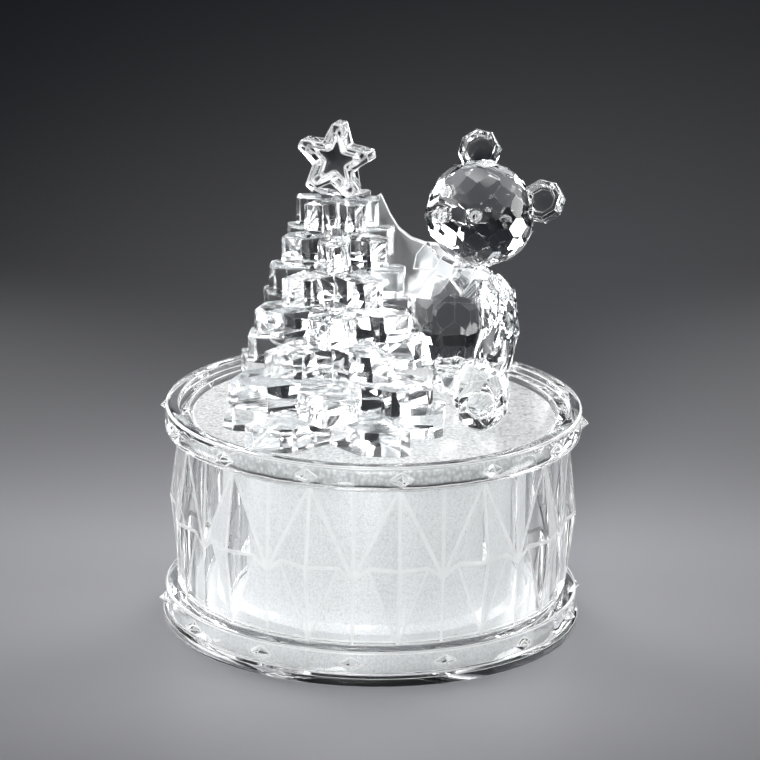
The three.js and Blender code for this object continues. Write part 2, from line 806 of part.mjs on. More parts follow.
// Flat strip wound into a spiral.
function mainspring() {
  const turns = 4.5;
  const steps = 60;
  const inner = 3.4;
  const outer = 9.6;
  const thickness = 0.3;
  const low = barrelBottom + 2;
  const high = barrelTop - 2;
  const side = (offset) => {
    const points = [];
    for (let i = 0; i <= steps; i += 1) {
      const t = i / steps;
      const radius = inner + (outer - inner) * t + offset;
      const angle = 2 * Math.PI * turns * t;
      points.push(new THREE.Vector2(radius * Math.cos(angle), radius * Math.sin(angle)));
    }
    return points;
  };
  const outline = side(thickness).concat(side(0).reverse());
  piece('mainspring', prism(outline, low, high), steel);
}

function winding() {
  piece('winding_arbor', turned([
    [0, 4.6], [1.8, 4.6], [1.8, 10.6], [arborRadius, 10.6], [arborRadius, barrelTop - 1.6],
    [0, barrelTop - 1.6],
  ], 20), steel);
  const ratchet = [];
  for (let k = 0; k < 12; k += 1) {
    ratchet.push(polar(6, 30 * k), polar(4.8, 30 * k + 4));
  }
  const hole = { x: 0, y: 0, radius: arborRadius + gap };
  piece('ratchet_wheel', prism(ratchet, 11, 12.4, [hole]), steel);
  const clickOutline = [[6.4, -0.4], [15, -1.6], [19, -1.6], [19, 1.6], [14.6, 1.6], [6.5, 0.5]]
    .map(([x, y]) => new THREE.Vector2(x, y));
  piece('click_spring', prism(clickOutline, 11.2, bedplateBottom - gap, []), steel);
  const blade = [
    [-3, 4.2], [-9, 3.2], [-11.6, 4.8], [-11.6, 7.8], [-9, 9.8], [-3, 9], [3, 9], [9, 9.8],
    [11.6, 7.8], [11.6, 4.8], [9, 3.2], [3, 4.2],
  ].map(([x, z]) => new THREE.Vector2(x, z)).reverse();
  const wings = prism(blade, -0.9, 0.9);
  wings.rotateX(Math.PI / 2);
  const bore = rod(1.8 + gap, 4.2, 12, 16);
  piece('winding_key', cut(join(wings, rod(3.4, 3.2, 10.2, 20)), bore), steel);
}

function bedplate() {
  const holes = [{ x: 0, y: 0, radius: arborRadius + gap }];
  const outline = [];
  for (let k = 0; k < 40; k += 1) {
    outline.push(polar(bedplateRadius, 9 * k));
  }
  for (let k = 0; k < 3; k += 1) {
    const place = polar(postCircle, postAngle(k));
    holes.push({ x: place.x, y: place.y, radius: 1.6 });
    const screw = piece(`bedplate_screw_${k + 1}`, turned([
      [0, bedplateTop - 7], [1.2, bedplateTop - 7], [1.2, bedplateTop + gap], [2.7, bedplateTop + gap],
      [2.5, bedplateTop + 1.8], [0, bedplateTop + 1.8],
    ], 12), steel);
    screw.position.set(place.x, place.y, 0);
  }
  piece('bedplate', prism(outline, bedplateBottom, bedplateTop, holes), castMetal);
}

function cylinderTrain() {
  const shaft = piece('cylinder_arbor', alongX(rod(shaftRadius, 9.2, 27.4, 14)), steel);
  shaft.position.z = cylinderZ;
  const pinionOutline = gearOutline(pinionTeeth, pinionPitchRadius, 0.62, 0.85,
    0.36 * crownPitch, 0.2 * crownPitch);
  const bore = { x: 0, y: 0, radius: shaftRadius + gap };
  const pinion = piece('cylinder_pinion', alongX(prism(pinionOutline, 9.5, 11.2, [bore])), brass);
  pinion.position.z = cylinderZ;
  const wheelOutline = gearOutline(wheelTeeth, wheelPitchRadius, 0.5, 0.75, 0.8, 0.42);
  const wheelShape = prism(wheelOutline, 12.1, 13.1, [bore]);
  wheelShape.rotateZ(Math.PI / 2);
  const wheel = piece('great_wheel', alongX(wheelShape), brass);
  wheel.position.z = cylinderZ;
  let drumShape = solid(tube(shaftRadius + gap, cylinderRadius, cylinderStart, cylinderEnd, 32));
  for (let k = 0; k < 26; k += 1) {
    const row = (5 * k) % tineCount;
    const x = cylinderStart + 0.64 + row * tinePitch;
    const pin = box(cylinderRadius - 0.6, cylinderRadius + pinHeight, -0.2, 0.2, x - 0.2, x + 0.2);
    pin.rotateZ(2 * Math.PI * (k + 0.25) / 26);
    drumShape = drumShape.add(solid(pin));
  }
  const drumPiece = piece('music_cylinder', alongX(geometryOf(drumShape)), brass);
  drumPiece.position.z = cylinderZ;
}

function governor() {
  const outline = gearOutline(flyTeeth, flyPitchRadius, 0.5, 0.7, 0.78, 0.42);
  const shape = prism(outline, 11.9, 13.3);
  shape.rotateZ(-Math.PI / 2 + Math.PI / flyTeeth);
  const pinion = piece('fly_pinion', alongX(join(shape, rod(0.8, 11.4, 24.6, 12))), steel);
  pinion.position.set(0, flyY, cylinderZ);
  const blades = cut(box(-5.2, 5.2, -0.3, 0.3, 16, 22), rod(1.1, 15, 23, 12));
  const hub = tube(1.1, 1.9, 16.4, 21.6, 12);
  const fly = piece('governor_fly', alongX(join(blades, hub)), brass);
  fly.position.set(0, flyY, cylinderZ);
}

// Upright plate across X with holes for the shafts.
function bearingPlate(name, x0, x1, outline, holes) {
  const shape = prism(outline.map(([y, z]) => new THREE.Vector2(y, z)), x0, x1,
    holes.map(([y, z, radius]) => ({ x: y, y: z, radius })));
  shape.rotateX(Math.PI / 2);
  shape.rotateZ(Math.PI / 2);
  piece(name, shape, castMetal);
}

function bearings() {
  const foot = bedplateTop + gap;
  const high = cylinderZ + 3.4;
  bearingPlate('inner_bearing', 13.5, 14.7, [
    [-5, foot], [17, foot], [17, high - 0.6], [11, high - 0.6], [3.4, high], [-3.4, high],
    [-5, high - 2],
  ], [[0, cylinderZ, shaftRadius + gap], [flyY, cylinderZ, 1.1]]);
  bearingPlate('outer_bearing', 25, 26.4, [
    [-5, foot], [5, foot], [3.6, high], [-3.6, high],
  ], [[0, cylinderZ, shaftRadius + gap]]);
  bearingPlate('governor_bearing', 23, 24.2, [
    [10.6, foot], [16.4, foot], [16.4, high - 1.4], [11.6, high - 1.4],
  ], [[flyY, cylinderZ, 1.1]]);
}

function comb() {
  const tip = -(cylinderRadius + pinHeight + 0.5);
  const first = cylinderStart + 0.64;
  const back = -16.2;
  const rootY = -12.2;
  const half = 0.22;
  const right = first + (tineCount - 1) * tinePitch + 0.5;
  const outline = [new THREE.Vector2(first - 0.5, back), new THREE.Vector2(right, back)];
  for (let k = tineCount - 1; k >= 0; k -= 1) {
    const x = first + k * tinePitch;
    outline.push(new THREE.Vector2(x + half, rootY), new THREE.Vector2(x + half, tip),
      new THREE.Vector2(x - half, tip), new THREE.Vector2(x - half, rootY));
  }
  const level = cylinderZ - 0.2;
  const screwX = [first + 1.2, right - 1.7];
  const screwY = -14.4;
  const holes = screwX.map((x) => ({ x, y: screwY, radius: 0.95 }));
  piece('comb', prism(outline, level, level + 0.6, holes), steel);
  const blockOutline = [[first - 0.5, back], [right, back], [right, -12.8], [first - 0.5, -12.8]]
    .map(([x, y]) => new THREE.Vector2(x, y));
  piece('comb_block', prism(blockOutline, bedplateTop + gap, level - gap, holes), castMetal);
  screwX.forEach((x, k) => {
    const screw = piece(`comb_screw_${k + 1}`, turned([
      [0, level - 6], [0.65, level - 6], [0.65, level + 0.6 + gap], [1.35, level + 0.6 + gap],
      [1.35, level + 1.8], [0, level + 1.8],
    ], 10), steel);
    screw.position.set(x, screwY, 0);
  });
}

function movement() {
  bedplate();
  barrel();
  mainspring();
  winding();
  piece('output_spindle', rod(3, barrelTop + gap, deckTop - deckThickness - gap - 1.3, 20), steel);
  cylinderTrain();
  governor();
  bearings();
  comb();
}

drum();
turntable();
tree();
bear();
movement();

export default root;
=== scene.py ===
"""Looks of the revolving drum music box: clear faceted acrylic round a frosted housing."""
import json
import math

import bmesh
import bpy
from bpy.props import FloatProperty, FloatVectorProperty, IntProperty, PointerProperty
from mathutils import Matrix, Vector


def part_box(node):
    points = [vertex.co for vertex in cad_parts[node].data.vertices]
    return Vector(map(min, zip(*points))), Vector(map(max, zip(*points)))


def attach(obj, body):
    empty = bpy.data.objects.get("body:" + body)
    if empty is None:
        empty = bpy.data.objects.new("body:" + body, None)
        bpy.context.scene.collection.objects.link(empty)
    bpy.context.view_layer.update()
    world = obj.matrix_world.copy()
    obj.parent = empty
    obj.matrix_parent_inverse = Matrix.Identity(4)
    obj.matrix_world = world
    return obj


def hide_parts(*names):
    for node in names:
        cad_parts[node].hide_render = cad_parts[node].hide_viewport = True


bl_info = {
    "name": "Revolving drum music box",
    "version": (1, 0, 0),
    "blender": (4, 5, 0),
    "location": "View3D > Sidebar > Music Box",
    "description": "Builds the finished pieces of a clear acrylic drum music box",
    "category": "Object",
}

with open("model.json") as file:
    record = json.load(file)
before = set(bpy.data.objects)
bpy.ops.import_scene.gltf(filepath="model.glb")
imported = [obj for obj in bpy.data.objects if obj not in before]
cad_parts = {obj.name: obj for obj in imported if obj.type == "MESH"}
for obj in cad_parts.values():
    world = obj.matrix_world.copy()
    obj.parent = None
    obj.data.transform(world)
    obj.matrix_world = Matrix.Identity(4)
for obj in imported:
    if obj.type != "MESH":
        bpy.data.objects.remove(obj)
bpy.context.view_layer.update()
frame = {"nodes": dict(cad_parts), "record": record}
MM = 0.001

# Edges that turn by more than this many degrees are rounded.
WALL_TURN = 5
BEAR_TURN = 8
ROUND_TURN = 12
TIER_TURN = 14
ROD_TURN = 20
KEY_TURN = 25
LATHE_TURN = 30

ROD_EDGE = 0.1 * MM
KEY_EDGE = 0.3 * MM
JOIN_DISTANCE = 2e-6     # between a CAD node's loose corners
FLAT_TURN = 0.6          # degrees within which two triangles are one flat face
TILE_JOIN = 4e-6         # between neighbouring tiles of a ring
BORE_STEPS = 8           # flats of the wall's inside behind one diamond

# Name, place, aim, size, power and spread in degrees of each lamp.
MIDDLE = (0, 0, 0.06)
SOFTBOXES = [
    ("Top", (0, 0.03, 0.38), MIDDLE, (0.2, 0.18), 0.055, 45),
    ("Left", (-0.24, 0.03, 0.13), MIDDLE, (0.13, 0.26), 0.085, 50),
    ("Right", (0.24, 0.03, 0.13), MIDDLE, (0.13, 0.26), 0.085, 50),
    ("Back left", (-0.22, 0.3, 0.17), MIDDLE, (0.13, 0.24), 0.1, 50),
    ("Back right", (0.22, 0.3, 0.17), MIDDLE, (0.13, 0.24), 0.1, 50),
    ("Front", (-0.12, -0.75, 0.3), (0, 0, 0.04), (0.3, 0.25), 0.25, 22),
]
FLOOR_HALF = 3.0
FLOOR_LEVEL = -0.1 * MM

TREE_TIERS = [f"tree_tier_{k}" for k in range(1, 8)]
BEAR_PIECES = [
    "bear_head", "bear_ear_right", "bear_ear_left", "bear_torso", "bear_bow_tie",
    "bear_near_arm", "bear_near_leg", "bear_far_leg",
    "near_foot_pad", "far_foot_pad",
]
FACE_DOMES = ["bear_eye_right", "bear_eye_left", "bear_nose"]
BRASS_PIECES = [
    "spring_barrel", "cylinder_pinion", "great_wheel", "music_cylinder", "governor_fly",
]
STEEL_PIECES = [
    "mainspring", "output_spindle", "winding_arbor", "ratchet_wheel", "click_spring",
    "cylinder_arbor", "fly_pinion", "comb", "comb_screw_1", "comb_screw_2",
    "bedplate_screw_1", "bedplate_screw_2", "bedplate_screw_3",
]
CAST_PIECES = ["bedplate", "inner_bearing", "outer_bearing", "governor_bearing", "comb_block"]


# ------------------------------------------------------------------ settings
def length(name, text, millimetres, low=0.0):
    """A length property that is given in millimetres and kept in metres."""
    return FloatProperty(
        name=name, description=text, default=millimetres * MM, min=low, unit="LENGTH", precision=5
    )


class MUSICBOX_PG_crystal(bpy.types.PropertyGroup):
    tint: FloatVectorProperty(
        name="Tint", description="Colour that the clear acrylic passes", subtype="COLOR",
        size=3, min=0, max=1, default=(0.975, 0.985, 0.99),
    )
    ior: FloatProperty(
        name="Refractive index", description="How strongly the acrylic bends light",
        default=1.49, min=1.3, max=2,
    )
    edge: length("Edge round", "Width of the rounding on moulded edges", 0.22)
    fine_edge: length("Fine edge round", "Width of the rounding on the bear's facets", 0.24)
    edge_clear: FloatProperty(
        name="Edge clearness", description="How clear the moulded edges are",
        default=0.62, min=0.5, max=1,
    )
    wall_edge: length("Wall edge round", "Width of the rounding on the wall's diamonds", 0.5)
    flow: length("Flow ripple", "Height of the slow ripple left by moulding", 0.03)


class MUSICBOX_PG_frost(bpy.types.PropertyGroup):
    tint: FloatVectorProperty(
        name="Tint", description="Colour of the frosted acrylic", subtype="COLOR",
        size=3, min=0, max=1, default=(0.97, 0.975, 0.98),
    )
    stipple: FloatProperty(
        name="Stipple density", description="Stipple dots along a metre", default=1900, min=50,
    )
    depth: length("Stipple depth", "Height of the stipple dots", 0.07)


class MUSICBOX_PG_drum(bpy.types.PropertyGroup):
    tiles: IntProperty(
        name="Diamonds", description="Diamonds round the drum", default=14, min=3,
    )
    turn: FloatProperty(
        name="Turn", description="Angle from the front to the nearest diamond of the wall",
        subtype="ANGLE", default=math.radians(7.8),
    )
    wall_radius: length("Wall radius", "Outside of the wall between its diamonds", 46.5)
    wall_bore: length("Wall bore", "Inside of the wall", 42.4)
    wall_bulge: length("Wall bulge", "How far a wall diamond's peak stands out", 2.3)


class MUSICBOX_PG_metal(bpy.types.PropertyGroup):
    brass: FloatVectorProperty(
        name="Brass", description="Colour of the brass pieces", subtype="COLOR",
        size=3, min=0, max=1, default=(0.72, 0.52, 0.22),
    )
    steel: FloatVectorProperty(
        name="Steel", description="Colour of the steel pieces", subtype="COLOR",
        size=3, min=0, max=1, default=(0.56, 0.57, 0.58),
    )
    cast: FloatVectorProperty(
        name="Cast frame", description="Colour of the die-cast frame", subtype="COLOR",
        size=3, min=0, max=1, default=(0.36, 0.37, 0.38),
    )


class MUSICBOX_PG_stage(bpy.types.PropertyGroup):
    distance: length("Camera distance", "From the camera to the middle of the object", 1003)
    target: length("Target height", "Height that the camera looks at", 58.4)
    elevation: FloatProperty(
        name="Elevation", description="How far the camera looks down", subtype="ANGLE",
        default=math.radians(17.34),
    )
    roll: FloatProperty(
        name="Roll", description="How far the camera is turned about its own axis",
        subtype="ANGLE", default=0.0164,
    )
    lens: FloatProperty(
        name="Focal length", description="Lens in millimetres on a 36 mm sensor", default=200.65,
    )
    side_shift: FloatProperty(
        name="Side shift", description="Sideways shift of the lens", default=0.0076,
    )
    floor_tint: FloatVectorProperty(
        name="Floor", description="Colour of the floor", subtype="COLOR",
        size=3, min=0, max=1, default=(0.34, 0.34, 0.36),
    )
    power: FloatProperty(
        name="Light", description="Strength of all lights together", default=1.0, min=0,
    )


# ------------------------------------------------------------------ node helpers
class Nodes:
    """Short way to write a node tree."""

    def __init__(self, tree):
        self.tree = tree

    def add(self, kind, values=None, **settings):
        node = self.tree.nodes.new(kind)
        for key, value in settings.items():
            setattr(node, key, value)
        for key, value in (values or {}).items():
            socket = node.inputs[key]
            if isinstance(value, bpy.types.NodeSocket):
                self.tree.links.new(value, socket)
            else:
                socket.default_value = value
        return node

    def join(self, output, socket):
        self.tree.links.new(output, socket)


def new_material(name, colour):
    """A material with its Principled shader, and its Object coordinates."""
    material = bpy.data.materials.new(name)
    material.use_nodes = True
    material.diffuse_color = (*colour, 1)
    tree = material.node_tree
    nodes = Nodes(tree)
    shader = next(n for n in tree.nodes if n.type == "BSDF_PRINCIPLED")
    place = nodes.add("ShaderNodeTexCoord").outputs["Object"]
    return material, nodes, shader, place


def noise(nodes, place, scale, detail=3.0, roughness=0.5):
    return nodes.add(
        "ShaderNodeTexNoise",
        {"Vector": place, "Scale": scale, "Detail": detail, "Roughness": roughness},
    ).outputs["Fac"]


def ranged(nodes, value, low, high, start=0.0, end=1.0):
    return nodes.add(
        "ShaderNodeMapRange",
        {"Value": value, "From Min": start, "From Max": end, "To Min": low, "To Max": high},
    ).outputs["Result"]


def bump(nodes, height, distance, strength=1.0, before=None):
    values = {"Height": height, "Distance": distance, "Strength": strength}
    if before is not None:
        values["Normal"] = before
    return nodes.add("ShaderNodeBump", values).outputs["Normal"]


def tinted(nodes, factor, dark, light):
    mix = nodes.add("ShaderNodeMix", data_type="RGBA")
    nodes.join(factor, mix.inputs["Factor"])
    mix.inputs[6].default_value = (*dark, 1)
    mix.inputs[7].default_value = (*light, 1)
    return mix.outputs[2]


def shaded(colour, share):
    return tuple(c * share for c in colour)


# ------------------------------------------------------------------ materials
def crystal_material(name, settings, painted_shade_share=1.0, haze_from=0.0, ior=None):
    """Polished clear acrylic: slow moulding ripple and a little handling haze.

    smoke darkens the tint as painted shade, standing in for the dark seen through the clear eye and
    nose domes, and haze_from is the roughness where it is cleanest."""
    tint = shaded(tuple(settings.tint), painted_shade_share)
    material, nodes, shader, place = new_material(name, tint)
    cloud = noise(nodes, place, 90, 2)
    nodes.join(tinted(nodes, cloud, shaded(tint, 0.985), tint), shader.inputs["Base Color"])
    haze = noise(nodes, place, 420, 4, 0.6)
    nodes.join(
        ranged(nodes, haze, haze_from, haze_from * 1.3 + 0.03, 0.45, 0.75),
        shader.inputs["Roughness"],
    )
    shader.inputs["IOR"].default_value = ior or settings.ior
    shader.inputs["Transmission Weight"].default_value = 1
    ripple = noise(nodes, place, 160, 1)
    nodes.join(bump(nodes, ripple, settings.flow, 0.5), shader.inputs["Normal"])
    pass_lamps(nodes, material, shader, shaded(tint, 0.97))
    return material


def edge_material(settings):
    """Moulded edges of the clear acrylic: a little cloudy, so that they catch the light."""
    tint = tuple(settings.tint)
    material, nodes, shader, place = new_material("Cloudy edge", tint)
    cloud = noise(nodes, place, 500, 3)
    nodes.join(tinted(nodes, cloud, shaded(tint, 0.8), tint), shader.inputs["Base Color"])
    nodes.join(ranged(nodes, cloud, 0.3, 0.4, 0.3, 0.7), shader.inputs["Roughness"])
    shader.inputs["IOR"].default_value = settings.ior
    shader.inputs["Transmission Weight"].default_value = settings.edge_clear
    pass_lamps(nodes, material, shader, shaded(tint, 0.97))
    return material


def pass_lamps(nodes, material, shader, tint):
    """Lets the lamps' light through a clear wall, so that what is inside is lit."""
    output = next(n for n in material.node_tree.nodes if n.type == "OUTPUT_MATERIAL")
    through = nodes.add("ShaderNodeBsdfTransparent", {"Color": (*tint, 1)})
    path = nodes.add("ShaderNodeLightPath")
    mix = nodes.add("ShaderNodeMixShader", {"Fac": path.outputs["Is Shadow Ray"]})
    nodes.join(shader.outputs[0], mix.inputs[1])
    nodes.join(through.outputs[0], mix.inputs[2])
    nodes.join(mix.outputs[0], output.inputs["Surface"])


def frosted_material(name, settings, see_through, density, shade):
    """Frosted acrylic with a fine stipple whose dots catch the light, and painted shade in the
    hollows between the dots.

    shade is how light the painted shade in the hollows between the dots is, over the dots
    themselves."""
    tint = tuple(settings.tint)
    material, nodes, shader, place = new_material(name, tint)
    dots = nodes.add(
        "ShaderNodeTexVoronoi", {"Vector": place, "Scale": density}, feature="F1",
    ).outputs["Distance"]
    grain = noise(nodes, place, density * 0.45, 3, 0.6)
    # The hollows between the stipple dots are painted darker: painted shade for the small shadows
    # of the dots.
    painted_hollow_shade = ranged(nodes, dots, 0.0, 1.0, 0.15, 0.75)
    nodes.join(tinted(nodes, painted_hollow_shade, tint, shaded(tint, shade)), shader.inputs["Base Color"])
    nodes.join(ranged(nodes, grain, 0.2, 0.55, 0.3, 0.7), shader.inputs["Roughness"])
    shader.inputs["IOR"].default_value = 1.49
    shader.inputs["Transmission Weight"].default_value = see_through
    shader.inputs["Coat Weight"].default_value = 0.4
    shader.inputs["Coat Roughness"].default_value = 0.2
    first = bump(nodes, dots, settings.depth, 0.9)
    nodes.join(bump(nodes, grain, settings.depth, 0.5, first), shader.inputs["Normal"])
    return material


def metal_material(name, colour, rough, grain_scale, stretch=(1, 1, 1)):
    """Worked metal with tool marks and a little tarnish."""
    material, nodes, shader, place = new_material(name, colour)
    turned = nodes.add("ShaderNodeMapping", {"Vector": place, "Scale": stretch}).outputs[0]
    marks = noise(nodes, turned, grain_scale, 4, 0.65)
    tarnish = noise(nodes, place, 120, 3)
    nodes.join(tinted(nodes, tarnish, shaded(colour, 0.72), colour), shader.inputs["Base Color"])
    shader.inputs["Metallic"].default_value = 1
    nodes.join(ranged(nodes, marks, rough * 0.7, rough * 1.5, 0.3, 0.7), shader.inputs["Roughness"])
    nodes.join(bump(nodes, marks, 0.02 * MM, 0.5), shader.inputs["Normal"])
    return material


def plastic_material(name, colour):
    """Plain moulded plastic with a faint grain."""
    material, nodes, shader, place = new_material(name, colour)
    grain = noise(nodes, place, 1800, 3)
    cloud = noise(nodes, place, 80, 2)
    nodes.join(tinted(nodes, cloud, shaded(colour, 0.93), colour), shader.inputs["Base Color"])
    nodes.join(ranged(nodes, grain, 0.38, 0.55), shader.inputs["Roughness"])
    nodes.join(bump(nodes, grain, 0.02 * MM, 0.4), shader.inputs["Normal"])
    return material


_made = {}


def finish(name):
    """The object's finishes, each made once from the scene's settings."""
    scene = bpy.context.scene
    metal = scene.musicbox_metal
    makers = {
        "clear": lambda: crystal_material("Clear acrylic", scene.musicbox_crystal),
        "tree": lambda: crystal_material("Tree acrylic", scene.musicbox_crystal, 1, 0.06, 1.4),
        "web": lambda: crystal_material("Hazy web", scene.musicbox_crystal, 1, 0.32),
        "edge": lambda: edge_material(scene.musicbox_crystal),
        # The eye and nose domes are clear acrylic; their darker tint is painted shade for the dark
        # seen through them.
        "eye": lambda: crystal_material("Domes with painted shade", scene.musicbox_crystal, 0.4),
        # The last number of each is how light the painted shade between the stipple dots is; the
        # deck's is darker, which also tones down the brightly lit deck.
        "deck": lambda: frosted_material(
            "Frosted deck", scene.musicbox_frost, 0.15, scene.musicbox_frost.stipple * 0.6, 0.6),
        "housing": lambda: frosted_material(
            "Frosted housing", scene.musicbox_frost, 0.06, scene.musicbox_frost.stipple, 0.82),
        "brass": lambda: metal_material("Turned brass", tuple(metal.brass), 0.24, 900),
        "steel": lambda: metal_material("Ground steel", tuple(metal.steel), 0.26, 700, (1, 1, 6)),
        "key": lambda: metal_material("Plated key", (0.66, 0.66, 0.67), 0.16, 500, (1, 4, 1)),
        "cast": lambda: metal_material("Cast frame", tuple(metal.cast), 0.48, 1400),
        "plastic": lambda: plastic_material("White plastic", (0.82, 0.81, 0.78)),
    }
    if name not in _made:
        _made[name] = makers[name]()
    return _made[name]


# ------------------------------------------------------------------ mesh helpers
def link(obj):
    bpy.context.scene.collection.objects.link(obj)
    return obj


def baked(obj, name):
    """A plain mesh object of what the modifiers make, in place of obj."""
    bpy.context.view_layer.update()
    ready = obj.evaluated_get(bpy.context.evaluated_depsgraph_get())
    mesh = bpy.data.meshes.new_from_object(ready)
    mesh.name = name
    result = link(bpy.data.objects.new(name, mesh))
    old = obj.data
    bpy.data.objects.remove(obj)
    bpy.data.meshes.remove(old)
    return result


def merged_copy(node, name):
    """A copy of a CAD node with its loose triangles joined into flat faces."""
    mesh = frame["nodes"][node].data.copy()
    mesh.materials.clear()
    work = bmesh.new()
    work.from_mesh(mesh)
    bmesh.ops.remove_doubles(work, verts=work.verts, dist=JOIN_DISTANCE)
    bmesh.ops.dissolve_limit(
        work, angle_limit=math.radians(FLAT_TURN), verts=work.verts, edges=work.edges,
    )
    work.to_mesh(mesh)
    work.free()
    return link(bpy.data.objects.new(name, mesh))


def rounded(obj, width, name, angle, materials):
    """Rounds the sharp edges and keeps the facets flat.

    The last of the materials goes on the rounded edges."""
    obj.data.materials.clear()
    for material in materials:
        obj.data.materials.append(material)
    for polygon in obj.data.polygons:
        polygon.use_smooth = True
    edge = obj.modifiers.new("Edge", "BEVEL")
    edge.width = width
    edge.segments = 2
    edge.limit_method = "ANGLE"
    edge.angle_limit = math.radians(angle)
    edge.use_clamp_overlap = True
    edge.harden_normals = True
    edge.material = len(materials) - 1
    edge.miter_outer = "MITER_ARC"
    return baked(obj, name)


def settle(obj, body, slot, *nodes):
    """Puts the piece on the body it rides on and hides the nodes it stands for; slot is not used.
    """
    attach(obj, body)
    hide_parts(*nodes)
    return obj


def body_holding(node):
    for body, members in frame["record"]["behaviour"]["bodies"].items():
        if node in members:
            return body
    raise RuntimeError(f"no body holds {node}")


def rounded_piece(node, materials, slot, width, angle):
    """One CAD node as a finished piece with rounded edges."""
    name = f"{node}_cut"
    obj = rounded(merged_copy(node, name + "_raw"), width, name, angle, materials)
    return settle(obj, body_holding(node), slot, node)


def clear_piece(node, width, angle, body="clear", slot="clear_crystal"):
    """One CAD node as clear acrylic with slightly cloudy edges."""
    return rounded_piece(node, [finish(body), finish("edge")], slot, width, angle)


def repaint(node, material):
    """A CAD node keeps its shape and gets a finish."""
    obj = frame["nodes"][node]
    obj.data.materials.clear()
    obj.data.materials.append(material)


def polar(radius, angle, z):
    """A point at a radius; angle 0 is the front and positive angles go right."""
    return Vector((radius * math.sin(angle), -radius * math.cos(angle), z))


# ------------------------------------------------------------------ ring of tiles
def ring_tree():
    """Repeats one tile round the upright axis, joins the tiles and sets their material."""
    name = "Ring of tiles"
    if name in bpy.data.node_groups:
        return bpy.data.node_groups[name]
    tree = bpy.data.node_groups.new(name, "GeometryNodeTree")
    face = tree.interface
    face.new_socket("Tile", in_out="INPUT", socket_type="NodeSocketGeometry")
    face.new_socket("Count", in_out="INPUT", socket_type="NodeSocketInt")
    face.new_socket("Join Distance", in_out="INPUT", socket_type="NodeSocketFloat")
    face.new_socket("Finish", in_out="INPUT", socket_type="NodeSocketMaterial")
    face.new_socket("Ring", in_out="OUTPUT", socket_type="NodeSocketGeometry")
    nodes = Nodes(tree)
    given = nodes.add("NodeGroupInput").outputs
    points = nodes.add("GeometryNodeMeshLine", {"Count": given["Count"]}, mode="OFFSET")
    points.inputs["Offset"].default_value = (0, 0, 0)
    step = nodes.add("ShaderNodeMath", operation="DIVIDE")
    step.inputs[0].default_value = 2 * math.pi
    nodes.join(given["Count"], step.inputs[1])
    angle = nodes.add("ShaderNodeMath", operation="MULTIPLY")
    nodes.join(nodes.add("GeometryNodeInputIndex").outputs[0], angle.inputs[0])
    nodes.join(step.outputs[0], angle.inputs[1])
    turn = nodes.add("ShaderNodeCombineXYZ", {"Z": angle.outputs[0]})
    copies = nodes.add("GeometryNodeInstanceOnPoints", {
        "Points": points.outputs[0], "Instance": given["Tile"],
    })
    nodes.join(turn.outputs[0], copies.inputs["Rotation"])
    real = nodes.add("GeometryNodeRealizeInstances", {0: copies.outputs[0]})
    joined = nodes.add("GeometryNodeMergeByDistance", {
        "Geometry": real.outputs[0], "Distance": given["Join Distance"],
    })
    painted = nodes.add("GeometryNodeSetMaterial", {
        "Geometry": joined.outputs[0], "Material": given["Finish"],
    })
    out = nodes.add("NodeGroupOutput")
    nodes.join(painted.outputs[0], out.inputs["Ring"])
    return tree


def ring_of(tile, count, material, name):
    """The closed ring that a tile makes, as a plain mesh."""
    grow = tile.modifiers.new("Ring", "NODES")
    tree = ring_tree()
    keys = {s.name: s.identifier for s in tree.interface.items_tree if s.in_out == "INPUT"}
    grow.node_group = tree
    grow[keys["Count"]] = count
    grow[keys["Join Distance"]] = TILE_JOIN
    grow[keys["Finish"]] = material
    return baked(tile, name)


def band_tile(name, low, high, radius, waist, bulge, half, ridge, turn, tiles, bore):
    """One diamond and the ridged triangles beside it, with the smooth wall behind them."""
    pitch = 2 * math.pi / tiles
    middle = (low + high) / 2
    crest = low + ridge * (high - low)
    points, faces = [], []

    def spot(r, angle, z):
        points.append(polar(r, angle, z))
        return len(points) - 1

    a, b, c = turn, turn + pitch / 2, turn + pitch
    top, top_half, top_next = (spot(radius, t, high) for t in (a, b, c))
    foot, foot_half, foot_next = (spot(radius, t, low) for t in (a, b, c))
    left = spot(radius + waist, a - half, middle)
    right = spot(radius + waist, a + half, middle)
    left_next = spot(radius + waist, c - half, middle)
    peak = spot(radius + bulge, a, middle)
    apex = spot(radius + waist, b, crest)
    faces += [
        (left, foot, peak), (foot, right, peak), (right, top, peak), (top, left, peak),
        (right, foot, apex), (foot, foot_half, apex), (foot_half, foot_next, apex),
        (foot_next, left_next, apex), (left_next, top_next, apex), (top_next, top_half, apex),
        (top_half, top, apex), (top, right, apex),
    ]
    steps = BORE_STEPS
    rings = [
        [spot(bore, a + pitch * k / steps, z) for k in range(steps + 1)] for z in (high, low)
    ]
    faces.append((top, top_half, top_next, *reversed(rings[0])))
    faces.append((foot_next, foot_half, foot, *rings[-1]))
    for upper, lower in zip(rings, rings[1:]):
        for k in range(steps):
            faces.append((upper[k], upper[k + 1], lower[k + 1], lower[k]))
    mesh = bpy.data.meshes.new(name)
    mesh.from_pydata(points, [], faces)
    return link(bpy.data.objects.new(name, mesh))


def diamond_band(node, radius, waist, bulge, half, ridge, turn, bore):
    """A closed band of diamonds in place of a CAD node, as high as that node."""
    drum = bpy.context.scene.musicbox_drum
    low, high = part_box(node)
    tile = band_tile(
        node + "_tile", low.z, high.z, radius, waist, bulge, math.radians(half), ridge, turn,
        drum.tiles, bore,
    )
    ring = ring_of(tile, drum.tiles, finish("clear"), node + "_ring")
    name = f"{node}_cut"
    width = bpy.context.scene.musicbox_crystal.wall_edge
    obj = rounded(ring, width, name, WALL_TURN, [finish("clear"), finish("edge")])
    return settle(obj, body_holding(node), "clear_crystal", node)


